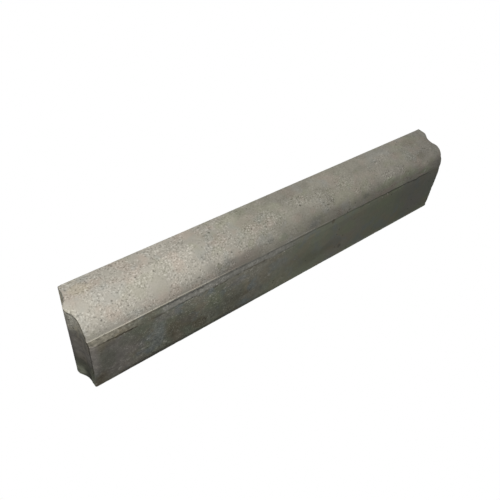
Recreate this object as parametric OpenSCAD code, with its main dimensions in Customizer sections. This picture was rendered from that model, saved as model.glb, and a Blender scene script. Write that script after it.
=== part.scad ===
// Precast concrete kerb stone with a rounded front edge and tongue and groove ends.
// The kerb lies along X. Its front, the carriageway side, faces -Y, and Z = 0 is its bed.

/* [Block] */
// Laying length, from shoulder to shoulder
laying_length = 1000; // [400:10:1200]
// Width of the block, front to back
block_width = 100; // [90:1:160]
// Height of the block, bed to top
block_height = 200; // [170:5:300]

/* [Front edge] */
// Radius of the rounded front edge
edge_radius = 60; // [30:1:80]
// Angle that the rounded edge turns through before it ends in a lip
edge_sweep = 88; // [60:1:90]
// How far a full quarter turn of the rounded edge would stay back from the front face
edge_setback = 2; // [1:0.5:5]
// Height of the sloping strip between the lip and the front face
strip_height = 21; // [5:1:30]

/* [End joint] */
// How far the tongue stands out of its end
tongue_depth = 12; // [6:0.5:16]
// Width of the tongue where it leaves the shoulders
tongue_width = 68; // [56:1:82]
// Radius of the tongue's nose
nose_radius = 17; // [12:0.5:21]
// Room left around the tongue in the groove of the next kerb
joint_clearance = 1; // [0.5:0.5:3]
// How much deeper the groove is than the tongue and its clearance
nose_gap = 3; // [0:0.5:5]

/* [Hidden] */
$fn = 96;

// Length by which a cut runs past the faces that it goes through
overrun = 10;
// Overlap of arcs that meet, so that they cross instead of only grazing each other
arc_overlap = 0.02;
// The origin is the middle of the bed, under the block and its tongue together
tongue_shoulder_x = (tongue_depth - laying_length) / 2;
groove_shoulder_x = tongue_shoulder_x + laying_length;
front_y = -block_width / 2;
// Axis of the rounded edge, and the lip where its arc ends
edge_y = front_y + edge_setback + edge_radius;
edge_z = block_height - edge_radius;
lip_y = edge_y - edge_radius * sin(edge_sweep);
lip_z = edge_z + edge_radius * cos(edge_sweep);

// Cross-section of the block, drawn with Y across and Z up
module block_section() {
    difference() {
        translate([front_y, 0])
            square([block_width, block_height]);
        // Corner that the rounded edge leaves off above the lip
        difference() {
            translate([front_y - overrun, lip_z])
                square([edge_y - front_y + overrun, block_height - lip_z + overrun]);
            translate([edge_y, edge_z])
                circle(r = edge_radius);
        }
        // Wedge between the lip and the front face
        polygon([
            [lip_y, lip_z],
            [front_y, lip_z - strip_height],
            [front_y - overrun, lip_z - strip_height],
            [front_y - overrun, lip_z],
        ]);
    }
}

// Straight length of the block, from one X to another
module section_bar(from_x, to_x) {
    translate([from_x, 0, 0])
        rotate([90, 0, 90])
            linear_extrude(height = to_x - from_x)
                block_section();
}

// Plan of a tongue that points to -X from shoulders at X = 0: a round nose that runs into the
// shoulders through two arcs, each tangent to the nose and to its shoulder
module tongue_plan(depth, width, nose) {
    half = width / 2;
    // Distance between the centre of the nose and that of an arc that touches it
    centres = (pow(depth, 2) + pow(half, 2)) / (2 * depth);
    arc = centres - nose;
    // Point where the nose runs into the arc
    touch_x = nose - depth - nose * (centres - depth) / centres;
    touch_y = nose * half / centres;
    difference() {
        polygon([
            [nose, -half],
            [0, -half],
            [touch_x, -touch_y],
            [touch_x, touch_y],
            [0, half],
            [nose, half],
        ]);
        for (side = [-1, 1])
            translate([arc_overlap - arc, side * half])
                circle(r = arc);
    }
    translate([nose - depth, 0])
        circle(r = nose);
}

// Upright prism of a tongue's plan, taller than the block, with its shoulders at an X
module tongue_prism(shoulder_x, depth, width, nose) {
    translate([shoulder_x, 0, -overrun])
        linear_extrude(height = block_height + 2 * overrun)
            tongue_plan(depth, width, nose);
}

// The whole kerb, which is one casting
module kerb_stone() {
    color("#8f8b80")
        difference() {
            union() {
                section_bar(tongue_shoulder_x, groove_shoulder_x);
                // The tongue has the block's own section, so it follows the rounded edge
                intersection() {
                    section_bar(
                        tongue_shoulder_x - tongue_depth - overrun,
                        tongue_shoulder_x + nose_radius
                    );
                    tongue_prism(tongue_shoulder_x, tongue_depth, tongue_width, nose_radius);
                }
            }
            // The groove takes the next kerb's tongue with room around it
            tongue_prism(
                groove_shoulder_x,
                tongue_depth + joint_clearance + nose_gap,
                tongue_width + 2 * joint_clearance,
                nose_radius + joint_clearance
            );
        }
}

kerb_stone();
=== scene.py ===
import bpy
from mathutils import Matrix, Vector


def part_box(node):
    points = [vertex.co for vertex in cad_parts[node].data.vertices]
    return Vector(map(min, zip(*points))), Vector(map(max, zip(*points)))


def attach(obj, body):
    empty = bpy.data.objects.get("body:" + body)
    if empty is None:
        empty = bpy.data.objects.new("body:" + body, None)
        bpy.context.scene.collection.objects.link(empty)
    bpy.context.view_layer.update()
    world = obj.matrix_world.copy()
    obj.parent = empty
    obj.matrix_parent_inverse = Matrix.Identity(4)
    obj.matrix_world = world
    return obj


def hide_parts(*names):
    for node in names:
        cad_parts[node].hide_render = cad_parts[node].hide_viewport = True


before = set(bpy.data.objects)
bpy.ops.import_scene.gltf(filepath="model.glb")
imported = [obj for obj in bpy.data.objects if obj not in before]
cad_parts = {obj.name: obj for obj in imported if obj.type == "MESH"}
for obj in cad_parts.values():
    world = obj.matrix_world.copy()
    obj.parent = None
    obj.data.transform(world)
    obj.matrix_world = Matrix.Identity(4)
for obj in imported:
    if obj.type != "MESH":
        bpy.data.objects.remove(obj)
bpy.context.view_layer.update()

import math

import bpy
from bpy.props import FloatProperty, FloatVectorProperty, PointerProperty
from mathutils import Vector
from mathutils.geometry import delaunay_2d_cdt

bl_info = {
    "name": "Concrete kerb stone",
    "version": (1, 0, 0),
    "blender": (4, 5, 0),
    "location": "View3D > Sidebar > Kerb",
    "description": "Casts a tongue and groove kerb stone in weathered concrete and sets it on a plain floor",
    "category": "Object",
}

NODE = "kerb_stone"
BODY = "root"
LOW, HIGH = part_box(NODE)
MM = 0.001
WHITE = (1.0, 1.0, 1.0, 1.0)


# ---------------------------------------------------------------------------------------------
# Node fields: numbers that vary over a surface, written as sums


class Field:
    """A number in a node tree that adds, multiplies and compares as a plain one does."""

    def __init__(self, tree, socket):
        self.tree = tree
        self.socket = socket

    def _math(self, operation, *operands):
        maths = self.tree.nodes.new("ShaderNodeMath")
        maths.operation = operation
        for operand, socket in zip(operands, maths.inputs):
            plug(self.tree, operand, socket)
        return Field(self.tree, maths.outputs[0])

    def __add__(self, other):
        return self._math("ADD", self, other)

    def __radd__(self, other):
        return self._math("ADD", other, self)

    def __sub__(self, other):
        return self._math("SUBTRACT", self, other)

    def __rsub__(self, other):
        return self._math("SUBTRACT", other, self)

    def __mul__(self, other):
        return self._math("MULTIPLY", self, other)

    def __truediv__(self, other):
        return self._math("DIVIDE", self, other)

    def __neg__(self):
        return self._math("MULTIPLY", self, -1.0)

    def __abs__(self):
        return self._math("ABSOLUTE", self)

    def __lt__(self, other):
        return self._math("LESS_THAN", self, other)

    def __gt__(self, other):
        return self._math("GREATER_THAN", self, other)

    def __mod__(self, other):
        return self._math("FLOORED_MODULO", self, other)

    def floor(self):
        return self._math("FLOOR", self)

    def sine(self):
        return self._math("SINE", self)

    def cosine(self):
        return self._math("COSINE", self)

    def at_least(self, other):
        return self._math("MAXIMUM", self, other)

    def at_most(self, other):
        return self._math("MINIMUM", self, other)

    def root(self):
        return self._math("SQRT", self.at_least(0.0))

    def square(self):
        return self * self

    def bell(self, width):
        """1 where this is 0, fading to nothing over a width on both sides."""
        return self._math("POWER", math.e, -(self / width).square())

    def rise(self, low, high):
        """0 up to low, 1 from high on, and a soft step between them. High may be the smaller."""
        step = self.tree.nodes.new("ShaderNodeMapRange")
        step.interpolation_type = "SMOOTHSTEP"
        # A soft step needs no clamp, and the concrete's hundreds would be too many to render
        step.clamp = False
        for operand, socket in zip((self, low, high), step.inputs):
            plug(self.tree, operand, socket)
        return Field(self.tree, step.outputs[0])

    def where(self, yes, no):
        """Yes where this is 1, and no where it is 0."""
        return add(self.tree, "ShaderNodeMix", {0: self, 2: no, 3: yes}, data_type="FLOAT")


def plug(tree, value, socket):
    """Feeds a socket from a field or another socket, or sets it to a constant."""
    if isinstance(value, Field):
        value = value.socket
    if isinstance(value, bpy.types.NodeSocket):
        tree.links.new(value, socket)
    else:
        socket.default_value = value


def node(tree, kind, inputs=None, **settings):
    """Adds a node with its settings and its inputs, which are keyed by name or by index."""
    made = tree.nodes.new(kind)
    for name, value in settings.items():
        setattr(made, name, value)
    for key, value in (inputs or {}).items():
        plug(tree, value, made.inputs[key])
    return made


def add(tree, kind, inputs=None, output=0, **settings):
    """Adds a node and returns one of its outputs as a field."""
    return Field(tree, node(tree, kind, inputs, **settings).outputs[output])


def shifted(tree, place, offset):
    """A place moved by a constant, so that two patterns of one kind differ.

    A material takes a Mapping node, because a place through Vector Math is converted twice, and
    the concrete would have too many of those conversions to render.
    """
    if tree.type == "SHADER":
        return add(tree, "ShaderNodeMapping", {"Vector": place, "Location": offset})
    return add(tree, "ShaderNodeVectorMath", {0: place, 1: offset}, operation="ADD")


def noise(tree, place, size, detail=2.0, rough=0.5, seed=0.0):
    """Soft noise about 0.5, whose blotches are about a size across in metres."""
    moved = shifted(tree, place, (seed, 1.7 * seed, 2.3 * seed))
    inputs = {"Vector": moved, "Scale": 1.0 / size, "Detail": detail, "Roughness": rough}
    return add(tree, "ShaderNodeTexNoise", inputs)


def cells(tree, place, size, seed=0.0, output="Distance"):
    """Scattered points a size apart: the distance to the nearest, or its own random colour."""
    moved = shifted(tree, place, (seed, 1.3 * seed, 2.1 * seed))
    return add(tree, "ShaderNodeTexVoronoi", {"Vector": moved, "Scale": 1.0 / size}, output)


# ---------------------------------------------------------------------------------------------
# Properties


def length(name, description, millimetres):
    """A size, whose default is given in millimetres."""
    return FloatProperty(
        name=name, description=description, default=millimetres * MM, min=0.0,
        unit="LENGTH", subtype="DISTANCE", precision=4,
    )


def colour(name, description, value):
    """A colour, given in linear light."""
    return FloatVectorProperty(
        name=name, description=description, default=value, min=0.0, max=1.0,
        size=3, subtype="COLOR",
    )


class KerbShape(bpy.types.PropertyGroup):
    edge_radius: length("Edge radius", "Radius of the rounded front edge", 60)
    edge_sweep: FloatProperty(
        name="Edge sweep", description="Angle that the rounded edge turns through",
        default=math.radians(88), subtype="ANGLE", unit="ROTATION",
    )
    edge_setback: length("Edge setback", "How far the rounded edge stays back from the front", 2)
    strip_height: length("Strip height", "Height of the sloping strip under the lip", 21)
    tongue_depth: length("Tongue depth", "How far the tongue stands out of its end", 12)
    tongue_width: length("Tongue width", "Width of the tongue at its shoulders", 68)
    nose_radius: length("Nose radius", "Radius of the tongue's nose", 17)
    joint_clearance: length("Joint clearance", "Room around a tongue in its groove", 1)
    nose_gap: length("Nose gap", "How much deeper the groove is than that", 3)
    corner_round: length("Corner rounding", "Radius of the worn long corners", 0.9)
    upright_round: length("Upright rounding", "Radius of the front's upright corner", 12)
    end_round: length("End rounding", "Radius of the worn edges of the ends", 0.8)
    grid_step: length("Grid step", "Spacing of the casting's mesh", 2.4)
    wave_height: length("Wave height", "Unevenness of the cast faces", 0.35)
    pore_depth: length("Pore depth", "Depth of the air holes left by casting", 1.1)
    chip_depth: length("Chip depth", "Depth of the chips along the edges", 2.2)
    flash_height: length("Flash height", "Height of the moulding flash along the lip", 0.9)
    groove_depth: length("Groove depth", "Depth of the groove under the moulding flash", 1.2)


class KerbFinish(bpy.types.PropertyGroup):
    crown: colour("Crown", "Concrete of the top and the rounded edge", (0.40, 0.375, 0.32))
    crown_warm: colour("Crown, pinkish", "Pinkish patches of the crown", (0.418, 0.37, 0.311))
    crown_tan: colour("Crown, tan", "Tan patch at the tongue end's back corner", (0.43, 0.385, 0.30))
    crown_green: colour("Crown, olive", "Olive patches of the crown", (0.38, 0.366, 0.288))
    crown_grey: colour("Crown, grey", "Cool grey patches of the crown", (0.385, 0.379, 0.337))
    moss: colour("Moss", "Green bloom just above the lip", (0.29, 0.305, 0.22))
    moss_low: colour("Moss, dark", "Green bloom on the front", (0.175, 0.195, 0.13))
    flash: colour("Flash", "Thin rib of cement on the lip", (0.45, 0.42, 0.33))
    # The front's dark colour is partly dirt and partly painted shade
    front: colour("Front", "Damp, dark concrete of the front face", (0.185, 0.178, 0.145))
    front_blue: colour("Front, blue", "Grey-blue patches of the front", (0.158, 0.172, 0.162))
    front_green: colour("Front, green", "Green-grey patches of the front", (0.168, 0.178, 0.131))
    front_brown: colour("Front, brown", "Brownish patches of the front", (0.188, 0.172, 0.128))
    umber: colour("Umber", "Dark brown stains", (0.148, 0.125, 0.083))
    strip: colour("Strip", "Concrete of the strip under the lip", (0.2, 0.195, 0.172))
    strip_warm: colour("Strip, brown", "Strip near the tongue end", (0.20, 0.185, 0.145))
    rubbed: colour("Rubbed", "Mauve grey of the rubbed corner", (0.19, 0.175, 0.158))
    end: colour("Ends", "Concrete of the two ends", (0.13, 0.125, 0.105))
    light_grit: colour("Light grit", "Pale sand grains", (0.62, 0.60, 0.54))
    dark_grit: colour("Dark grit", "Dark sand grains and pinholes", (0.10, 0.095, 0.075))


class KerbStage(bpy.types.PropertyGroup):
    key_power: FloatProperty(
        name="Key power", description="Power of the large lamp over the tongue end",
        default=3.3, min=0.0, unit="POWER",
    )
    sky_strength: FloatProperty(
        name="Sky strength", description="Strength of the even light from all round",
        default=0.485, min=0.0,
    )
    lens: FloatProperty(
        name="Lens", description="Focal length of the camera", default=39.25 * MM,
        unit="CAMERA", subtype="DISTANCE_CAMERA",
    )


# ---------------------------------------------------------------------------------------------
# The casting's shape


def stations(total, step, fine_start=False, fine_end=False):
    """Distances along a stretch, a step apart, with closer ones next to an end that asks."""
    fine = [distance * MM for distance in (0.6, 1.3, 2.0, 2.8, 3.6, 4.5, 5.5, 6.6)]
    count = max(1, round(total / step))
    places = [total * i / count for i in range(count)]
    if fine_start:
        places = [0.0, *fine, *(p for p in places if p > fine[-1] + 0.3 * step)]
    if fine_end:
        close = [total - f for f in reversed(fine)]
        places = [*(p for p in places if p < close[0] - 0.3 * step), *close]
    return places


def straight(start, end, step, **fine):
    """Points from start up to but not at end."""
    start, end = Vector(start), Vector(end)
    total = (end - start).length
    return [start.lerp(end, s / total) for s in stations(total, step, **fine)]


def arc(centre, radius, first, last, step, **fine):
    """Points on an arc from one angle up to but not at another, in degrees."""
    total = radius * math.radians(abs(last - first))
    turns = [first + (last - first) * s / total for s in stations(total, step, **fine)]
    return [
        Vector((
            centre[0] + radius * math.cos(math.radians(a)),
            centre[1] + radius * math.sin(math.radians(a)),
        ))
        for a in turns
    ]


def section_outline(shape):
    """The cross-section's outline from the front's foot up, over the top and back along the bed.

    Returns its points, their outward directions and how far each lies round from the lip.
    """
    step, worn = shape.grid_step, shape.corner_round
    hidden = 2.5 * step
    front, back, top = LOW.y, HIGH.y, HIGH.z
    axis = (front + shape.edge_setback + shape.edge_radius, top - shape.edge_radius)
    sweep = math.degrees(shape.edge_sweep)
    lip = (
        axis[0] - shape.edge_radius * math.sin(shape.edge_sweep),
        axis[1] + shape.edge_radius * math.cos(shape.edge_sweep),
    )
    foot = (front, lip[1] - shape.strip_height)
    below = straight((front, worn), foot, step, fine_end=True)
    below += straight(foot, lip, step, fine_start=True, fine_end=True)
    above = arc(axis, shape.edge_radius, 90 + sweep, 90, step, fine_start=True)
    above += straight((axis[0], top), (back - worn, top), step)
    above += arc((back - worn, top - worn), worn, 90, 0, worn / 2)
    above += straight((back, top - worn), (back, worn), hidden)
    above += arc((back - worn, worn), worn, 0, -90, worn / 2)
    above += straight((back - worn, 0), (front + worn, 0), hidden)
    above += arc((front + worn, worn), worn, -90, -180, worn / 2)
    points = below + above
    count = len(points)
    outward = []
    for i in range(count):
        along = (points[(i + 1) % count] - points[i - 1]).normalized()
        outward.append(Vector((-along.y, along.x)))
    gaps = [(points[i] - points[i - 1]).length for i in range(1, count)]
    walked = [0.0]
    for gap in gaps:
        walked.append(walked[-1] + gap)
    start = walked[len(below)]
    return points, outward, [w - start for w in walked]


def section_mesh(shape):
    """A flat mesh of the cross-section at X = 0, whose first points are its outline.

    The outline is drawn in by the rounding of the ends, so that it is the rim of an end face.
    """
    points, outward, round_from_lip = section_outline(shape)
    rim = [p - n * shape.end_round for p, n in zip(points, outward)]
    count = len(rim)
    # Inside the rim the points lie in a triangular pattern, a little farther apart than on it
    step = 1.35 * shape.grid_step
    row_height = step * math.sqrt(3) / 2
    inner = []
    for row in range(1, int((HIGH.z - LOW.z) / row_height)):
        z = LOW.z + row * row_height
        for column in range(int((HIGH.y - LOW.y) / step) + 1):
            place = Vector((LOW.y + (column + 0.5 * (row % 2)) * step, z))
            nearest = min(range(count), key=lambda i: (rim[i] - place).length_squared)
            if (rim[nearest] - place).dot(outward[nearest]) > 0.6 * step:
                inner.append(place)
    flat, _, faces, origin, _, _ = delaunay_2d_cdt(
        rim + inner, [], [list(range(count))], 1, 1e-7
    )
    order = [from_points[0] for from_points in origin]
    if order[:count] != list(range(count)):
        raise RuntimeError("the outline's points were merged or moved by the triangulation")
    mesh = bpy.data.meshes.new("section")
    mesh.from_pydata([(0.0, p.x, p.y) for p in flat], [], faces)
    for name, part in (("outward_y", 0), ("outward_z", 1)):
        values = [n[part] for n in outward] + [0.0] * (len(flat) - count)
        mesh.attributes.new(name, "FLOAT", "POINT").data.foreach_set("value", values)
    values = list(round_from_lip)
    depths = [0.0] * count
    for place in flat[count:]:
        nearest = min(range(count), key=lambda i: (rim[i] - place).length_squared)
        values.append(round_from_lip[nearest])
        depths.append((rim[nearest] - place).length)
    mesh.attributes.new("from_lip", "FLOAT", "POINT").data.foreach_set("value", values)
    mesh.attributes.new("depth", "FLOAT", "POINT").data.foreach_set("value", depths)
    return mesh, count


def tongue_group():
    """A node group for the plan of a tongue: how far it reaches along X at a distance across."""
    tree = bpy.data.node_groups.new("Tongue plan", "GeometryNodeTree")
    for name in ("Across", "Depth", "Width", "Nose"):
        tree.interface.new_socket(name, in_out="INPUT", socket_type="NodeSocketFloat")
    tree.interface.new_socket("Reach", in_out="OUTPUT", socket_type="NodeSocketFloat")
    sockets = tree.nodes.new("NodeGroupInput").outputs
    across, depth, width, nose = (Field(tree, socket) for socket in sockets[:4])
    off = abs(across)
    half = width * 0.5
    centres = (depth.square() + half.square()) / (depth * 2.0)
    fillet = centres - nose
    on_nose = depth - nose + (nose.square() - off.square()).root()
    on_fillet = fillet - (fillet.square() - (half - off).square()).root()
    reach = (off < nose * half / centres).where(on_nose, (off < half).where(on_fillet, 0.0))
    plug(tree, reach, tree.nodes.new("NodeGroupOutput").inputs[0])
    return tree


def sampled(tree, section, name, index):
    """A number that the section's mesh stores, read at one of its points."""
    stored = node(tree, "GeometryNodeInputNamedAttribute", {"Name": name}).outputs[0]
    inputs = {"Geometry": section, "Value": stored, "Index": index}
    return add(tree, "GeometryNodeSampleIndex", inputs)


def stored(tree, name):
    """A number that a mesh stores, read where it is."""
    return add(tree, "GeometryNodeInputNamedAttribute", {"Name": name})


def store(tree, geometry, name, value):
    """Stores a number on each point of a geometry."""
    inputs = {"Geometry": geometry, "Name": name, "Value": value}
    return node(tree, "GeometryNodeStoreNamedAttribute", inputs).outputs[0]


def split(tree, vector):
    """The three parts of a vector."""
    return [Field(tree, s) for s in node(tree, "ShaderNodeSeparateXYZ", {0: vector}).outputs]


def joined(tree, x, y, z):
    """A vector from its three parts."""
    return add(tree, "ShaderNodeCombineXYZ", {0: x, 1: y, 2: z})


def end_reach(tree, group, across, depth, width, nose):
    """How far a tongue of a depth, width and nose radius reaches, at a distance across."""
    inputs = {"Across": across, "Depth": depth, "Width": width, "Nose": nose}
    return add(tree, "GeometryNodeGroup", inputs, node_tree=group)


def kerb_ends(tree, group, size, across):
    """X of the tongue end and of the groove end, at a distance across the kerb."""
    gap = size["Clearance"]
    tongue = end_reach(
        tree, group, across, size["Tongue depth"], size["Tongue width"], size["Nose radius"]
    )
    groove = end_reach(
        tree, group, across, size["Tongue depth"] + gap + size["Nose gap"],
        size["Tongue width"] + gap * 2.0, size["Nose radius"] + gap,
    )
    return size["Tongue shoulder"] - tongue, size["Groove shoulder"] - groove


def long_faces(tree, group, section, size, count):
    """The faces along the kerb: a grid of rows from end to end, each row a copy of the outline."""
    worn_rows = 3
    run = size["Groove shoulder"] - size["Tongue shoulder"]
    rows = (run / size["Grid step"]).floor() + (2 * worn_rows + 1)
    grid = node(
        tree, "GeometryNodeMeshGrid",
        {"Size X": 1.0, "Size Y": 1.0, "Vertices X": rows, "Vertices Y": count + 1},
    ).outputs[0]
    index = add(tree, "GeometryNodeInputIndex")
    row = (index / (count + 1.0) + 1e-4).floor()
    column = (index - row * (count + 1.0)) % float(count)
    sample = node(
        tree, "GeometryNodeSampleIndex", {"Geometry": section, "Index": column},
        data_type="FLOAT_VECTOR",
    )
    plug(tree, node(tree, "GeometryNodeInputPosition").outputs[0], sample.inputs["Value"])
    _, rim_y, rim_z = split(tree, sample.outputs[0])

    # The first and last rows turn in towards the end faces
    last = rows - 1.0
    from_end = row.at_most(last - row)
    turn = (from_end / worn_rows).at_most(1.0) * (math.pi / 2)
    out = turn.sine() * size["End rounding"]
    inset = (1.0 - turn.cosine()) * size["End rounding"]
    y = rim_y + out * sampled(tree, section, "outward_y", column)
    z = rim_z + out * sampled(tree, section, "outward_z", column)
    tongue_x, groove_x = kerb_ends(tree, group, size, y)
    first_x = tongue_x + inset
    last_x = groove_x - inset
    along = ((row - worn_rows) / (last - 2.0 * worn_rows)).at_least(0.0).at_most(1.0)
    x = first_x + (last_x - first_x) * along
    grid = store(tree, grid, "from_lip", sampled(tree, section, "from_lip", column))
    grid = store(tree, grid, "on_end", 1.0 - from_end.at_most(worn_rows) / worn_rows)
    grid = store(tree, grid, "to_edge", along.at_most(1.0 - along) * run)
    return node(
        tree, "GeometryNodeSetPosition", {"Geometry": grid, "Position": joined(tree, x, y, z)}
    ).outputs[0]


def end_faces(tree, group, section, size):
    """The faces of the two ends: the section itself, bent to the plan of each end."""
    _, y, z = split(tree, node(tree, "GeometryNodeInputPosition").outputs[0])
    faces = []
    for x in kerb_ends(tree, group, size, y):
        face = store(tree, section, "on_end", 1.0)
        face = store(tree, face, "to_edge", stored(tree, "depth"))
        faces.append(node(
            tree, "GeometryNodeSetPosition", {"Geometry": face, "Position": joined(tree, x, y, z)}
        ).outputs[0])
    tongue_face, groove_face = faces
    return tongue_face, node(tree, "GeometryNodeFlipFaces", {"Mesh": groove_face}).outputs[0]


def casting_tree(count, material):
    """The node tree that draws the section out between the two ends and roughens the faces.

    Its input is the section's mesh, whose outline is its first points.
    """
    tree = bpy.data.node_groups.new("Kerb casting", "GeometryNodeTree")
    tree.interface.new_socket("Section", in_out="INPUT", socket_type="NodeSocketGeometry")
    names = (
        "Tongue shoulder", "Groove shoulder", "Tongue depth", "Tongue width", "Nose radius",
        "Clearance", "Nose gap", "End rounding", "Grid step", "Wave height", "Pore depth",
        "Chip depth", "Flash height", "Groove depth", "Strip height", "Lip height", "Corner radius",
    )
    for name in names:
        tree.interface.new_socket(name, in_out="INPUT", socket_type="NodeSocketFloat")
    tree.interface.new_socket("Kerb", in_out="OUTPUT", socket_type="NodeSocketGeometry")
    entry = tree.nodes.new("NodeGroupInput")
    size = {name: Field(tree, entry.outputs[name]) for name in names}
    section = entry.outputs["Section"]
    group = tongue_group()
    sides = long_faces(tree, group, section, size, count)
    join = tree.nodes.new("GeometryNodeJoinGeometry")
    for part in (sides, *end_faces(tree, group, section, size)):
        tree.links.new(part, join.inputs[0])
    whole = node(
        tree, "GeometryNodeMergeByDistance", {"Geometry": join.outputs[0], "Distance": 1e-5}
    ).outputs[0]
    whole = relief(tree, whole, size)
    whole = node(tree, "GeometryNodeSetShadeSmooth", {"Geometry": whole}).outputs[0]
    whole = node(tree, "GeometryNodeRealizeInstances", {"Geometry": whole}).outputs[0]
    whole = node(
        tree, "GeometryNodeSetMaterial", {"Geometry": whole, "Material": material}
    ).outputs[0]
    plug(tree, whole, tree.nodes.new("NodeGroupOutput").inputs[0])
    return tree


def air_holes(tree, size, place):
    """Depth of the air holes: some of the scattered points are holes a few millimetres wide."""
    spacing = 0.016
    without = 0.72
    chance = add(tree, "ShaderNodeSeparateXYZ", {0: cells(tree, place, spacing, 5.0, "Color")})
    reach = (chance - without).at_least(0.0) * 0.7
    hole = 1.0 - (cells(tree, place, spacing, 5.0) / reach.at_least(0.02)).rise(0.3, 1.0)
    return hole * (chance > without) * size["Pore depth"]


def bitten(tree, size, place, side):
    """Depth of the chips: patches bitten out of the ends' edges and of the foot of the strip."""
    x, _, z = split(tree, place)
    bite = noise(tree, place, 0.016, detail=3.0, seed=12.7).rise(0.53, 0.68)
    near_end = 1.0 - (stored(tree, "to_edge") / 0.005).at_most(1.0)
    near_bed = (z - LOW.z).bell(0.003) * side
    drift = (noise(tree, place, 0.03, detail=2.0, seed=2.9) - 0.5) * 0.006
    foot = (stored(tree, "from_lip") + size["Strip height"] + drift).bell(0.0022) * side
    rough = noise(tree, place, 0.09, seed=2.2).rise(0.42, 0.6)
    worn_foot = foot * rough * x.rise(0.08, -0.08)
    return (bite * (near_end * 0.6 + near_bed * 0.15) + worn_foot * 0.5) * size["Chip depth"]


def flash_line(tree, size, place, side):
    """Height of a thin rib on the lip, and depth of a groove under it that runs on past its end."""
    x = split(tree, place)[0]
    wavering = stored(tree, "from_lip") + (noise(tree, place, 0.06, seed=6.6) - 0.5) * 0.0016
    ribbed = (x + (noise(tree, place, 0.04, seed=1.9) - 0.5) * 0.12).rise(-0.12, -0.24)
    rib = (wavering - 0.0014).bell(0.0013) * side * ribbed
    worn = noise(tree, place, 0.03, detail=2.0, seed=4.4).rise(0.35, 0.6)
    furrowed = x.rise(-0.47, -0.34) * x.rise(0.42, 0.28)
    furrow = (wavering + 0.0056).bell(0.002) * side * furrowed * (worn * 0.6 + 0.4)
    return rib * size["Flash height"], furrow * size["Groove depth"]


def relief(tree, whole, size):
    """Moves the casting's points along their normals: waves, air holes, chips and moulding flash."""
    whole = soft_corner(tree, whole, size)
    place = node(tree, "GeometryNodeInputPosition").outputs[0]
    side = 1.0 - stored(tree, "on_end")
    wave = (noise(tree, place, 0.09, detail=2.0, seed=3.1) - 0.5) * size["Wave height"] * 1.6
    sand = (noise(tree, place, 0.007, detail=1.0, seed=8.4) - 0.5) * size["Wave height"] * 0.7
    rib, furrow = flash_line(tree, size, place, side)
    holes = air_holes(tree, size, place)
    chips = bitten(tree, size, place, side)
    height = wave + sand + rib - furrow - holes - chips
    whole = store(tree, whole, "hollow", (holes + chips) / MM)
    normal = node(tree, "GeometryNodeInputNormal").outputs[0]
    offset = add(
        tree, "ShaderNodeVectorMath", {0: normal, "Scale": height}, operation="SCALE"
    )
    return node(
        tree, "GeometryNodeSetPosition", {"Geometry": whole, "Offset": offset}
    ).outputs[0]


def soft_corner(tree, whole, size):
    """Rounds the upright corner between the tongue end and the front, and wears the end's foot."""
    place = node(tree, "GeometryNodeInputPosition").outputs[0]
    x, y, z = split(tree, place)
    fade = z.rise(size["Lip height"] + 0.012, size["Lip height"] - 0.012)
    fade = fade * (z.rise(0.01, 0.05) * 0.8 + 0.2)
    radius = size["Corner radius"] * (fade * 0.98 + 0.02)
    u = 1.0 - (x - size["Tongue shoulder"]) / radius
    v = 1.0 - (y - LOW.y) / radius
    inside = (u > 0.0) * (v > 0.0)
    farther = u.at_least(v)
    shrink = farther / (u.square() + v.square()).root().at_least(0.001)
    moved = joined(
        tree,
        (u - u * shrink) * radius * inside,
        (v - v * shrink) * radius * inside,
        z.rise(LOW.z + 0.006, LOW.z) * x.rise(-0.49, -0.498) * 0.0018,
    )
    return node(
        tree, "GeometryNodeSetPosition", {"Geometry": whole, "Offset": moved}
    ).outputs[0]


def set_inputs(modifier, values):
    """Sets a modifier's inputs, found by name, through their identifiers."""
    sockets = {s.name: s.identifier for s in modifier.node_group.interface.items_tree}
    for name, value in values.items():
        modifier[sockets[name]] = value


def realised(builder, tree, values, name):
    """Runs a node tree on an object, and returns its result as an object with a plain mesh."""
    bpy.context.scene.collection.objects.link(builder)
    modifier = builder.modifiers.new("shape", "NODES")
    modifier.node_group = tree
    set_inputs(modifier, values)
    graph = bpy.context.evaluated_depsgraph_get()
    graph.update()
    mesh = bpy.data.meshes.new_from_object(builder.evaluated_get(graph))
    builder.modifiers.remove(modifier)
    bpy.data.objects.remove(builder)
    mesh.name = name
    piece = bpy.data.objects.new(name, mesh)
    bpy.context.scene.collection.objects.link(piece)
    return piece


# ---------------------------------------------------------------------------------------------
# Concrete. Each look is a colour and a level, the number that the colour is multiplied by


def mixed(tree, factor, first, second, blend="MIX"):
    """Two colours mixed, as a colour socket."""
    inputs = {0: factor, 6: first, 7: second}
    return node(
        tree, "ShaderNodeMix", inputs, data_type="RGBA", blend_type=blend
    ).outputs[2]


def opaque(rgb):
    """A colour property as a colour without see-through."""
    return (*rgb, 1.0)


def grey(tree, value):
    """A field as a grey colour socket."""
    return node(tree, "ShaderNodeCombineColor", {0: value, 1: value, 2: value}).outputs[0]


def attribute(tree, name):
    """A number stored on the mesh, in a material."""
    return add(tree, "ShaderNodeAttribute", output="Fac", attribute_name=name)


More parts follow.
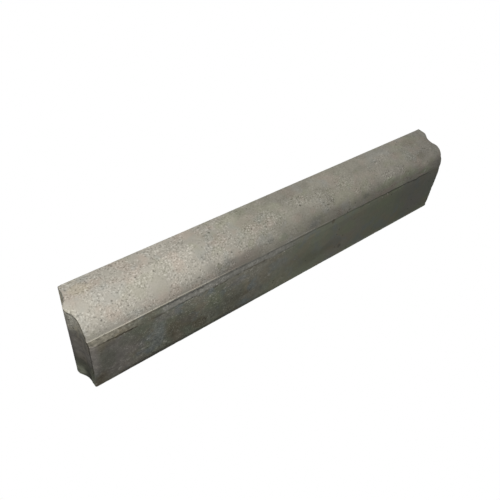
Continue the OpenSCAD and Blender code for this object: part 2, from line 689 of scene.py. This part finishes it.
class Skin:
    """What the concrete's patterns are worked out from: places on the kerb and shared noises.

    Its x, y and z are places in millimetres, and its s is how far round the section from the lip
    a place lies, upwards. A spot is given by its x, its s, its two half widths and, if it isn't
    the usual one, by how ragged its edge is.
    """

    def __init__(self, tree):
        self.tree = tree
        self.place = node(tree, "ShaderNodeTexCoord").outputs["Object"]
        along, across, up = split(tree, self.place)
        self.x = along / MM
        self.y = across / MM
        self.z = up / MM
        self.s = attribute(tree, "from_lip") / MM
        self.to_edge = attribute(tree, "to_edge") / MM
        self.hollow = attribute(tree, "hollow")
        self.face = attribute(tree, "on_end").rise(0.05, 0.33)
        self.side = 1.0 - self.face
        self.ragged = noise(tree, self.place, 0.035, detail=4.0, rough=0.6, seed=21.0)
        self.cloudy = noise(tree, self.place, 0.12, detail=3.0, seed=22.0)
        soft = self.x.rise(200.0, 300.0)
        lip = self.s + self.x.rise(-160.0, -90.0) * 1.2 + (self.ragged - 0.5) * soft * 14.0
        self.below = lip.rise(soft * 1.5 + 0.3, soft * -2.0 - 1.5)

    def patches(self, size, seed, low, high):
        """Blotches about a size across in metres; a higher low leaves fewer of them."""
        return noise(self.tree, self.place, size, detail=3.0, seed=seed).rise(low, high)

    def spot(self, x, s, wide, high, rag=2.4):
        """A soft patch about a place on the faces, 1 in its middle, with a ragged edge."""
        off = ((self.x - x) / wide).square() + ((self.s - s) / high).square()
        return (1.0 - off + (self.ragged - 0.5) * rag).rise(0.0, 0.9)

    def spots(self, *places):
        """Several spots as one."""
        return sum(self.spot(*place) for place in places).at_most(1.0)

    def dots(self, spacing, size, seed):
        """Scattered dots, given by how far apart and how large a part of that they are."""
        off = cells(self.tree, self.place, spacing, seed)
        return 1.0 - off.rise(size * 0.5, size)

    def tinted(self, factor, base, tint):
        """A colour mixed with a tint, as far as a factor says."""
        return mixed(self.tree, factor, base, opaque(tint))

    def shaded(self, level, *shades):
        """A level made lighter or darker in spots. Each shade is a share and then its spots."""
        for share, *places in shades:
            level = level * (1.0 + self.spots(*places) * share)
        return level


def crown_look(skin, finish):
    """Beige grey with pinkish, olive and grey patches, darker at the back, and darker low down: partly dirt,
    partly painted shade.
    """
    x, s = skin.x, skin.s
    pinkish = skin.patches(0.045, 1.0, 0.5, 0.64)
    places = (-450, 112, 16, 8), (-187, 110, 14, 9), (155, 95, 18, 11), (360, 80, 26, 13)
    pinkish = (pinkish + skin.spots(*places)).at_most(1.0)
    colour = skin.tinted(pinkish, opaque(finish.crown), finish.crown_warm)
    middle = x.rise(-220.0, -40.0) * x.rise(330.0, 200.0)
    olive = (skin.patches(0.05, 4.0, 0.5, 0.64) + middle * 0.35).at_most(1.0)
    olive = olive * (1.0 - x.rise(-260.0, -340.0) * 0.55)
    colour = skin.tinted(olive * (1.0 - pinkish * 0.6), colour, finish.crown_green)
    colour = skin.tinted(skin.patches(0.04, 5.5, 0.54, 0.68) * 0.7, colour, finish.crown_grey)
    mould = skin.patches(0.034, 83.0, 0.5, 0.66) * x.rise(-280.0, -160.0) * s.rise(20.0, 50.0)
    colour = skin.tinted(mould * 0.22, colour, finish.moss)
    colour = skin.tinted(skin.spot(-430, 72, 40, 24) * 0.6, colour, finish.crown_grey)
    colour = skin.tinted(skin.spot(-467, 105, 24, 17) * 0.8, colour, finish.crown_tan)

    level = 0.9 + skin.cloudy * 0.2
    cloud = noise(skin.tree, skin.place, 0.03, detail=2.0, seed=81.0) - 0.5
    level = level * (1.0 + cloud * (x.rise(-320.0, -200.0) * 0.26 + 0.1))
    level = level * (1.0 + s.rise(84.0, 100.0) * (x.rise(-330.0, 0.0) * 0.17 - 0.07))
    level = skin.shaded(
        level,
        (0.03, (-467, 105, 24, 17)),
        (-0.2, (-10, 120, 130, 34)),
        (0.12, (-275, 102, 85, 60)),
        (-0.13, (0, 44, 125, 22)),
        (-0.08, (455, 90, 60, 60)),
        (0.06, (250, 70, 140, 22)),
        (-0.08, (320, 120, 70, 14), (60, 25, 62, 10)),
        (0.05, (-185, 106, 62, 20), (-395, 100, 44, 14)),
        (0.08, (-235, 42, 120, 15)),
    )
    return crown_dirt_and_shade(skin, finish, colour, level)


def crown_dirt_and_shade(skin, finish, colour, level):
    """Darker low on the rounded edge, partly smudges and partly painted shade, with green bloom there, and
    bluish and brown stains.
    """
    x, s = skin.x, skin.s
    reach = s + (skin.ragged - 0.5) * 30.0
    # Painted shade with dirt: the crown is made darker low down, towards the lip, in bands and spots
    low_band = reach.rise(42.0, 18.0) * (x.rise(-300.0, -170.0) * 0.2 + x.rise(-60.0, 60.0) * 0.12)
    level = level * (1.0 - low_band)
    smudge_and_shade = reach.rise(18.0, 4.0) * x.rise(-110.0, -190.0) + skin.spot(-290, 10, 60, 18)
    level = level * (1.0 - smudge_and_shade.at_most(1.0) * 0.12)
    shade = reach.rise(36.0, 14.0) * s.rise(4.0, 9.0) * x.rise(-330.0, -380.0)
    level = level * (1.0 - shade * 0.08 - skin.spot(-295, 3, 62, 9) * 0.12)
    dusky = reach.rise(32.0, 24.0) * x.rise(-235.0, -205.0) * x.rise(-90.0, -130.0)
    colour = skin.tinted(dusky * 0.26, colour, finish.rubbed)
    bluish = skin.spots((-80, 25, 12, 8), (-40, 19, 14, 11), (42, 12, 16, 9), (212, 20, 14, 8))
    bluish = (bluish + x.rise(465.0, 492.0) * 0.6).at_most(1.0)
    colour = skin.tinted(bluish * 0.35, colour, finish.front_blue)
    colour = skin.tinted(skin.spots((432, 104, 34, 16), (430, 54, 20, 13)) * 0.2, colour, finish.umber)
    moss = skin.spots((300, 24, 55, 15), (338, 6, 40, 10), (380, 22, 40, 12), (445, 10, 26, 10))
    moss = (moss + skin.spot(-42, 18, 22, 12) * 0.7).at_most(1.0)
    colour = skin.tinted(moss * 0.75, colour, finish.moss)
    level = level * (1.0 + moss * 0.25 + skin.spots((450, 27, 45, 9), (450, 8, 50, 10)) * 0.12)
    return colour, level


def front_look(skin, finish):
    """Dark grey, partly dirt and partly painted shade, with blue, brown, green and mauve patches, and the
    strip under the lip.
    """
    x, s, ragged = skin.x, skin.s, skin.ragged
    green = skin.cloudy.rise(0.4, 0.6)
    colour = skin.tinted(green, opaque(finish.front), finish.front_green)
    calm = 1.0 - x.rise(-150.0, -90.0) * 0.45
    colour = skin.tinted(skin.patches(0.05, 9.0, 0.48, 0.62) * calm, colour, finish.front_brown)
    colour = skin.tinted(skin.patches(0.04, 10.0, 0.53, 0.64) * calm, colour, finish.front_blue)
    colour = skin.tinted(skin.spot(-440, -80, 60, 70) * 0.8, colour, finish.rubbed)
    blue = skin.spots((-358, -75, 24, 55), (-155, -38, 20, 12))
    dusk = skin.spot(440, -60, 110, 80)
    colour = skin.tinted((blue + dusk * 0.4).at_most(1.0) * 0.8, colour, finish.front_blue)
    brown = skin.spot(-305, -80, 42, 45) + skin.spot(-262, -112, 26, 20)
    brown = brown * 0.8 + skin.spot(-165, -95, 44, 13, 3.6) * 0.5
    brown = (brown + skin.spots((20, -90, 66, 40), (120, -90, 50, 26)) * 0.35).at_most(1.0)
    colour = skin.tinted(brown * 0.8, colour, finish.umber)
    foul = skin.spot(-485, -125, 28, 30)
    colour = skin.tinted(foul * 0.6, colour, finish.umber)
    deep = skin.spots(
        (-390, -45, 50, 30), (-190, -80, 60, 62), (60, -92, 70, 22), (-300, -55, 50, 18),
        (-468, -75, 24, 36), (-185, -120, 60, 16),
    )
    colour = skin.tinted(deep * 0.4, colour, finish.front_green)
    grassy = skin.spots((-222, -68, 26, 26), (165, -58, 40, 26), (333, -8, 32, 8), (290, -34, 50, 22))
    colour = skin.tinted(grassy * 0.6, colour, finish.moss_low)
    mauve = skin.spots((-168, -42, 34, 18), (-330, -34, 40, 14), (430, -90, 60, 40))
    colour = skin.tinted(mauve * 0.5, colour, finish.rubbed)

    # Painted shade: the front is made darker at the tongue end, under the key lamp, and a little darker at
    # the far end, so that it shows evenly lit
    level = 0.72 + skin.cloudy * 0.2 + (x + (ragged - 0.5) * 60.0).rise(-400.0, -60.0) * 0.31
    level = level - x.rise(80.0, 400.0) * 0.12
    level = level * (1.0 - x.rise(-420.0, -460.0) * 0.14)
    graded = x.rise(-420.0, -300.0) * x.rise(-40.0, -160.0)
    drop = (s + (ragged - 0.5) * 40.0).rise(-40.0, -110.0)
    level = level * (1.0 + graded * (0.2 - drop * 0.38)) * (1.0 - foul * 0.2)
    level = level * (1.0 + blue * 0.12 - brown * 0.1 - dusk * 0.06)
    level = level * (1.0 + skin.spot(-50, -40, 70, 32) * 0.1 - deep * 0.12)
    level = skin.shaded(level, (0.08, (60, -32, 70, 18)), (-0.04, (-185, -75, 60, 70)))
    blotch = noise(skin.tree, skin.place, 0.011, detail=3.0, rough=0.6, seed=63.0) - 0.5
    level = level * (1.0 + blotch * (0.95 - x.rise(-160.0, 60.0) * 0.75))
    return strip_look(skin, finish, colour, level)


def strip_look(skin, finish, colour, level):
    """The sloping strip under the lip: paler than the front, and brown near the tongue end."""
    x, s, ragged = skin.x, skin.s, skin.ragged
    on_strip = (s + 21.0 + (ragged - 0.5) * 5.0).rise(-1.5, 1.5)
    near = (x + (ragged - 0.5) * 30.0).rise(-365.0, -430.0)
    beyond = (x + (ragged - 0.5) * 30.0).rise(-355.0, -335.0) * x.rise(50.0, -60.0)
    colour = skin.tinted(on_strip * beyond, colour, finish.strip)
    colour = skin.tinted(on_strip * near, colour, finish.strip_warm)
    rusty = on_strip * near * skin.patches(0.02, 65.0, 0.5, 0.6)
    colour = skin.tinted(rusty * 0.45, colour, finish.umber)
    ridge = (s + 14.0 + (ragged - 0.5) * 5.0).bell(4.5) * (0.28 - x.rise(-260.0, -200.0) * 0.18)
    mottle = noise(skin.tree, skin.place, 0.007, detail=3.0, seed=61.0) - 0.5
    lift = near * (0.44 + x.rise(-450.0, -475.0) * 0.2 + mottle * 2.4)
    level = level + on_strip * (lift + beyond * (ridge - 0.04 + mottle * 1.2))
    level = level + on_strip * x.rise(-110.0, -60.0) * x.rise(320.0, 100.0) * 0.1
    return colour, skin.shaded(level, (-0.16, (-388, -18, 46, 5), (-185, -18, 60, 5)))


def end_look(skin, finish):
    """Grey at the top, brown and dark lower down, and speckled green at the foot, with painted shadow in the
    hollow beside the tongue and painted shade at the tongue's foot.
    """
    y, z = skin.y, skin.z + (skin.ragged - 0.5) * 24.0
    colour = skin.tinted(skin.ragged.rise(0.45, 0.6), opaque(finish.end), finish.front_brown)
    colour = skin.tinted(z.rise(150.0, 120.0) * z.rise(50.0, 80.0) * 0.6, colour, finish.rubbed)
    colour = skin.tinted(z.rise(66.0, 36.0) * 0.8, colour, finish.front_green)
    colour = skin.tinted(z.rise(145.0, 165.0) * y.rise(-18.0, -30.0) * 0.7, colour, finish.strip_warm)
    level = 0.84 + z.rise(128.0, 158.0) * 0.85 + z.rise(172.0, 186.0) * 0.4
    level = level - z.rise(90.0, 50.0) * 0.3
    on_nose = y.rise(-24.0, -12.0)
    level = level + z.rise(40.0, 26.0) * (on_nose * 0.55 - 0.05) + z.rise(20.0, 8.0) * 0.1
    # Painted shadow in the hollow beside the tongue, low down
    hollow = (y + 31.0).bell(8.0) * z.rise(40.0, 14.0)
    blotch = noise(skin.tree, skin.place, 0.012, detail=3.0, seed=51.0) - 0.5
    level = level * (1.0 + blotch * 1.2) * (1.0 - hollow * 0.4)
    level = level * (1.0 + (y + 19.0).bell(7.0) * (skin.z - 20.0).bell(6.0) * 0.4)
    corner = y.rise(-40.0, -46.0)
    level = level * (1.0 + corner * (z.rise(60.0, 80.0) * 0.15 + z.rise(118.0, 140.0) * 0.5))
    colour = skin.tinted(corner * z.rise(100.0, 130.0) * 0.4, colour, finish.umber)
    level = level * (1.0 + y.rise(-35.0, -42.0) * z.rise(38.0, 14.0) * 1.1)
    level = level * (1.0 + y.rise(-27.0, -20.0) * z.rise(152.0, 166.0) * 0.18)
    level = level * (1.0 - (y + 26.0).bell(7.0) * (z - 150.0).bell(12.0) * 0.22)
    edge = skin.to_edge.rise(4.0, 0.8) * z.rise(60.0, 100.0) * z.rise(194.0, 182.0)
    # Painted shade at the foot of the tongue
    edge = edge + (y + 19.0).bell(9.0) * skin.z.rise(12.0, 5.0) * 1.1
    return colour, level * (1.0 - edge * 0.5)


def lip_marks(skin, finish, colour, level):
    """Flash on the lip, a lighter row on it that is partly crumbled cement and partly painted light, and
    painted shade in the groove under it.
    """
    x, s, ragged, side = skin.x, skin.s, skin.ragged, skin.side
    waver = (noise(skin.tree, skin.place, 0.06, seed=6.6) - 0.5) * 1.6
    rib = (s + waver - 1.4).bell(1.1) * x.rise(-120.0, -230.0) * side
    colour = skin.tinted(rib * 0.5, colour, finish.flash)
    level = level * (1.0 + rib * 0.6)
    # Painted light with crumbled cement: a lighter row along the lip, lifting its shade
    crumbs_and_painted_light = (s + waver - 0.4).bell(1.6) * ragged.rise(0.46, 0.54) * side
    level = level * (1.0 + crumbs_and_painted_light * x.rise(-135.0, -110.0) * x.rise(200.0, 150.0) * 0.4)
    # Painted shade: the groove under the lip is darkened, more in places
    wander = x.rise(150.0, 280.0)
    shaky = 3.0 + wander * 14.0 + x.rise(-60.0, 40.0) * x.rise(280.0, 200.0) * 5.0
    groove = s + waver + 5.2 - wander * 1.6 + (ragged - 0.5) * shaky
    wide = 2.1 + x.rise(60.0, 140.0) * 1.1 - wander * 1.4
    groove = groove.bell(wide) * x.rise(-400.0, -330.0) * x.rise(478.0, 440.0) * side
    depth = 0.16 + ragged.rise(0.42, 0.58) * 0.26 + skin.spot(-295, -5, 60, 20) * 0.2
    depth = depth * (1.0 - x.rise(-250.0, -225.0) * x.rise(130.0, 100.0) * 0.32)
    level = level * (1.0 - groove * (depth + wander * 0.2))
    slimy = skin.spots((430, 10, 28, 6, 1.8), (455, 4, 28, 6, 1.8)) * side
    colour = skin.tinted(slimy * 0.5, colour, finish.moss)
    return colour, level * (1.0 - slimy * 0.12)


def front_marks(skin, finish, colour, level):
    """Dirt along the strip's foot, dirt and painted shadow along the bed, painted shade in every hollow,
    blots, and the rubbed corner.
    """
    x, s, ragged, side = skin.x, skin.s, skin.ragged, skin.side
    foot = (s + 20.6 + (ragged - 0.5) * 9.0).bell(1.5 + ragged * 1.2) * side
    foot = foot * (x.rise(-385.0, -410.0) + ragged.rise(0.5, 0.6) * x.rise(-60.0, -120.0) * 0.6)
    foot = foot + (s + 19.6).bell(1.8) * x.rise(-158.0, -146.0) * x.rise(-84.0, -96.0) * side * 0.7
    foot = foot.at_most(1.0) * (x.rise(-480.0, -430.0) * 0.7 + 0.35)
    level = level * (1.0 - foot * 0.45)
    colour = skin.tinted(foot * 0.8, colour, finish.umber)
    blot = skin.spots((107, -7, 6, 8, 1.6), (158, 5, 7, 3, 1.6)) * side
    colour = skin.tinted(blot * 0.55, colour, finish.umber)
    level = level * (1.0 - blot * 0.2 - skin.spot(151, -110, 6, 9, 1.0) * side * 0.3)
    level = level * (1.0 - skin.spot(-38, -12, 3, 12, 0.8) * side * 0.14)
    # Darker along the bed, most towards the tongue end, a little lighter at the far end: partly dirt, partly
    # painted shadow
    bed = (skin.z + (ragged - 0.5) * 12.0).rise(15.0, 5.0)
    bed = bed * (x.rise(60.0, -200.0) * 0.5 * x.rise(-480.0, -425.0) - 0.1 - x.rise(100.0, 300.0) * 0.1)
    bed = bed + skin.spot(-380, -138, 60, 9) * 0.14
    level = level * (1.0 - bed * side)
    # Painted shade in the air holes and chips
    level = level * (1.0 - skin.hollow.rise(0.2, 1.2) * 0.35)
    rubbed = skin.to_edge.rise(24.0, 8.0) * skin.below * x.rise(-440.0, -465.0) * side
    rubbed = rubbed * skin.z.rise(25.0, 60.0) * (s + (ragged - 0.5) * 10.0).rise(-12.0, -20.0)
    colour = skin.tinted(rubbed * 0.85, colour, finish.rubbed)
    return colour, level * (1.0 + rubbed * 0.4)


def grit(skin, finish, sand, colour, level):
    """Sand grains, thickest near the tongue end and in some clusters elsewhere."""
    x, s, below = skin.x, skin.s, skin.below
    share = x.rise(60.0, -300.0) * 0.14
    clumps = (noise(skin.tree, skin.place, 0.035, detail=3.0, seed=16.0) + share).rise(0.52, 0.6)
    clumps = clumps * (0.8 - x.rise(-160.0, -60.0) * 0.55)
    clusters = skin.spots(
        (-70, 68, 60, 30), (30, 79, 38, 18), (94, 64, 28, 40), (155, 74, 26, 26), (195, 44, 22, 14),
        (296, 88, 32, 18), (305, 41, 36, 14), (350, 42, 30, 14), (400, 65, 34, 22), (463, 61, 26, 14),
    )
    clumps = (clumps + clusters * 0.75) * (1.0 - skin.spots((-345, 42, 34, 18), (-493, 84, 20, 13)))
    clumps = clumps * (1.0 - s.rise(34.0, 2.0) * (x.rise(-380.0, -440.0) * 0.4 + 0.2))
    clumps = clumps * (1.0 - s.rise(92.0, 108.0) * x.rise(-380.0, -60.0) * 0.3)
    clumps = clumps * (1.0 - s.rise(50.0, 60.0) * s.rise(90.0, 80.0) * 0.07)
    clumps = clumps + skin.spots((-390, 14, 50, 9), (228, 46, 34, 13)) * 0.4
    clumps = skin.shaded(clumps, (-0.2, (-468, 40, 32, 16)))
    sandy = (clumps + 0.15 + x.rise(-160.0, -60.0) * 0.2) * (1.0 - below * 0.45)
    sandy = sandy * (1.0 - below * x.rise(-160.0, 60.0) * 0.8) * (1.0 - skin.face * 0.6)
    colour = skin.tinted(sand.rise(0.56, 0.68) * sandy * 0.45, colour, finish.light_grit)
    colour = skin.tinted(sand.rise(0.44, 0.3) * sandy * 0.45, colour, finish.dark_grit)
    return colour, level * (1.0 + (sand - 0.5) * sandy * 0.8)


def scratches(skin, finish, colour, level):
    """Short pale scratches in places, pale flecks, pinholes darkened as painted shade, and small flaws on
    the front.
    """
    x, side = skin.x, skin.side
    scrawl = noise(skin.tree, skin.place, 0.009, detail=3.0, rough=0.6, seed=71.0).rise(0.58, 0.64)
    scrawled = skin.spots(
        (-385, -82, 24, 30), (-222, -68, 24, 26), (-300, -45, 26, 14), (-82, -78, 16, 10),
        (-440, -110, 30, 20), (-130, -24, 40, 8), (-345, -118, 20, 16), (215, -8, 28, 7),
        (150, 5, 22, 5), (310, -6, 60, 8), (440, 7, 24, 7), (-84, 3, 50, 5), (30, 3, 60, 5),
        (200, 4, 50, 5), (22, -26, 6, 10),
    )
    scrawl = scrawl * scrawled * side * (x.rise(100.0, 140.0) * 0.15 + 0.37)
    colour = skin.tinted(scrawl, colour, finish.light_grit)
    flecks = skin.dots(0.021, 0.13, 31.0) * skin.patches(0.08, 33.0, 0.48, 0.56)
    flecks = flecks * skin.below * x.rise(60.0, -100.0) * side
    colour = skin.tinted(flecks * 0.45, colour, finish.light_grit)
    # Painted shade: the pinholes are dark dots
    pits = skin.dots(0.021, 0.13, 37.0) * skin.patches(0.08, 39.0, 0.45, 0.55)
    level = level * (1.0 - pits * 0.5)
    flaws = skin.dots(0.012, 0.22, 43.0) * skin.spots((-365, -112, 64, 26), (-262, -118, 40, 18))
    return colour, level * (1.0 - flaws * side * 0.5)


def concrete(finish):
    """Weathered cast concrete: a pale sandy crown, and darker, stained front and ends; the front's darkness
    is partly painted shade.
    """
    material = bpy.data.materials.new("weathered_concrete")
    material.use_nodes = True
    tree = material.node_tree
    tree.nodes.clear()
    skin = Skin(tree)
    crown, crown_level = crown_look(skin, finish)
    front, front_level = front_look(skin, finish)
    end, end_level = end_look(skin, finish)
    colour = mixed(tree, skin.below, crown, front)
    colour = mixed(tree, skin.face, colour, end)
    level = skin.face.where(end_level, skin.below.where(front_level, crown_level))
    colour, level = lip_marks(skin, finish, colour, level)
    colour, level = front_marks(skin, finish, colour, level)
    sand = noise(tree, skin.place, 0.0034, detail=1.5, rough=0.6, seed=14.0)
    colour, level = grit(skin, finish, sand, colour, level)
    colour, level = scratches(skin, finish, colour, level)
    base = mixed(tree, 1.0, colour, grey(tree, level), blend="MULTIPLY")

    fine = noise(tree, skin.place, 0.0022, detail=2.0, seed=15.0)
    height = fine * 0.4 + sand * 0.6
    bump = node(tree, "ShaderNodeBump", {"Strength": 0.6, "Distance": 0.0006, "Height": height})
    shader = node(
        tree, "ShaderNodeBsdfPrincipled",
        {"Base Color": base, "Roughness": 0.9, "Normal": bump.outputs[0]},
    )
    shader.inputs["Specular IOR Level"].default_value = 0.25
    output = tree.nodes.new("ShaderNodeOutputMaterial")
    tree.links.new(shader.outputs[0], output.inputs["Surface"])
    return material


class KERB_OT_cast_stone(bpy.types.Operator):
    """Cast the kerb stone: its section, drawn out between tongue and groove, with its relief"""

    bl_idname = "kerb.cast_stone"
    bl_label = "Cast the kerb stone"

    def execute(self, context):
        shape = context.scene.kerb_shape
        mesh, count = section_mesh(shape)
        material = concrete(context.scene.kerb_finish)
        shoulder = LOW.x + shape.tongue_depth
        values = {
            "Tongue shoulder": shoulder,
            "Groove shoulder": HIGH.x,
            "Tongue depth": shape.tongue_depth,
            "Tongue width": shape.tongue_width,
            "Nose radius": shape.nose_radius,
            "Clearance": shape.joint_clearance,
            "Nose gap": shape.nose_gap,
            "End rounding": shape.end_round,
            "Grid step": shape.grid_step,
            "Wave height": shape.wave_height,
            "Pore depth": shape.pore_depth,
            "Chip depth": shape.chip_depth,
            "Flash height": shape.flash_height,
            "Groove depth": shape.groove_depth,
            "Strip height": shape.strip_height,
            "Lip height": HIGH.z - shape.edge_radius * (1 - math.cos(shape.edge_sweep)),
            "Corner radius": shape.upright_round,
        }
        builder = bpy.data.objects.new("section_builder", mesh)
        casting = realised(builder, casting_tree(count, material), values, "kerb_casting")
        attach(casting, BODY)
        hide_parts(NODE)
        return {"FINISHED"}


# ---------------------------------------------------------------------------------------------
# Stage

FLOOR_SIZE = 24.0
# The key lamp shines on the tongue end at this height, from this far off
KEY_HEIGHT = 0.15
KEY_OFFSET = (-0.1, -0.34, 0.55)
KEY_SIZE = 0.3
# The camera's place, its turn about X, Y and Z in degrees, and its shift in sensor widths
CAMERA_PLACE = (-0.6580, -0.6219, 0.9682)
CAMERA_TURN = (46.47, -6.51, -39.15)
CAMERA_SHIFT = (-0.0501, -0.0405)
SENSOR_WIDTH = 36.0


def floor_material():
    """A plain white floor that stays white under the camera and throws back little light."""
    material = bpy.data.materials.new("white_floor")
    material.use_nodes = True
    tree = material.node_tree
    tree.nodes.clear()
    seen = node(tree, "ShaderNodeLightPath").outputs["Is Camera Ray"]
    matt = node(tree, "ShaderNodeBsdfDiffuse", {"Color": (0.25, 0.25, 0.25, 1.0)}).outputs[0]
    bright = node(tree, "ShaderNodeEmission", {"Color": WHITE, "Strength": 1.0}).outputs[0]
    mix = node(tree, "ShaderNodeMixShader", {0: seen, 1: matt, 2: bright})
    output = tree.nodes.new("ShaderNodeOutputMaterial")
    tree.links.new(mix.outputs[0], output.inputs["Surface"])
    return material


def lamp(name, place, target, size, power):
    """A square white area lamp at a place, turned to shine on a target."""
    light = bpy.data.lights.new(name, "AREA")
    light.size = size
    light.energy = power
    made = bpy.data.objects.new(name, light)
    made.location = place
    made.visible_camera = False
    made.rotation_mode = "QUATERNION"
    made.rotation_quaternion = (target - place).to_track_quat("-Z", "Y")
    bpy.context.scene.collection.objects.link(made)


class KERB_OT_set_stage(bpy.types.Operator):
    """Set the stage: a white floor, soft light that falls off along the kerb, and the camera"""

    bl_idname = "kerb.set_stage"
    bl_label = "Set the stage"

    def execute(self, context):
        stage = context.scene.kerb_stage
        half = FLOOR_SIZE / 2
        corners = [(-half, -half), (half, -half), (half, half), (-half, half)]
        mesh = bpy.data.meshes.new("floor")
        mesh.from_pydata([(x, y, LOW.z - MM) for x, y in corners], [], [(0, 1, 2, 3)])
        mesh.materials.append(floor_material())
        floor = bpy.data.objects.new("floor", mesh)
        context.scene.collection.objects.link(floor)

        world = bpy.data.worlds.new("studio")
        world.use_nodes = True
        tree = world.node_tree
        tree.nodes.clear()
        seen = Field(tree, node(tree, "ShaderNodeLightPath").outputs["Is Camera Ray"])
        strength = seen.where(1.0, stage.sky_strength)
        sky = node(tree, "ShaderNodeBackground", {"Color": WHITE, "Strength": strength})
        output = tree.nodes.new("ShaderNodeOutputWorld")
        tree.links.new(sky.outputs[0], output.inputs["Surface"])
        context.scene.world = world

        target = Vector((LOW.x, 0.0, KEY_HEIGHT))
        lamp("key", target + Vector(KEY_OFFSET), target, KEY_SIZE, stage.key_power)

        camera = bpy.data.objects.new("camera", bpy.data.cameras.new("camera"))
        camera.location = CAMERA_PLACE
        camera.rotation_euler = [math.radians(angle) for angle in CAMERA_TURN]
        camera.data.lens = stage.lens / MM
        camera.data.sensor_width = SENSOR_WIDTH
        camera.data.shift_x, camera.data.shift_y = CAMERA_SHIFT
        context.scene.collection.objects.link(camera)
        context.scene.camera = camera
        context.scene.view_settings.view_transform = "Standard"
        return {"FINISHED"}


class KERB_PT_panel(bpy.types.Panel):
    """The kerb stone's steps"""

    bl_idname = "KERB_PT_panel"
    bl_label = "Kerb stone"
    bl_space_type = "VIEW_3D"
    bl_region_type = "UI"
    bl_category = "Kerb"

    def draw(self, context):
        scene = context.scene
        for title, group in (
            ("Shape", scene.kerb_shape), ("Finish", scene.kerb_finish), ("Stage", scene.kerb_stage)
        ):
            box = self.layout.box()
            box.label(text=title)
            for name in group.__annotations__:
                box.prop(group, name)
        for step in STEPS:
            self.layout.operator(step.bl_idname)


STEPS = (KERB_OT_cast_stone, KERB_OT_set_stage)
GROUPS = {"kerb_shape": KerbShape, "kerb_finish": KerbFinish, "kerb_stage": KerbStage}


def register():
    for kind in (*GROUPS.values(), *STEPS, KERB_PT_panel):
        bpy.utils.register_class(kind)
    for name, group in GROUPS.items():
        setattr(bpy.types.Scene, name, PointerProperty(type=group))


def unregister():
    for name in GROUPS:
        delattr(bpy.types.Scene, name)
    for kind in reversed((*GROUPS.values(), *STEPS, KERB_PT_panel)):
        bpy.utils.unregister_class(kind)


def main():
    register()
    bpy.ops.kerb.cast_stone()
    bpy.ops.kerb.set_stage()


if __name__ == "__main__":
    main()
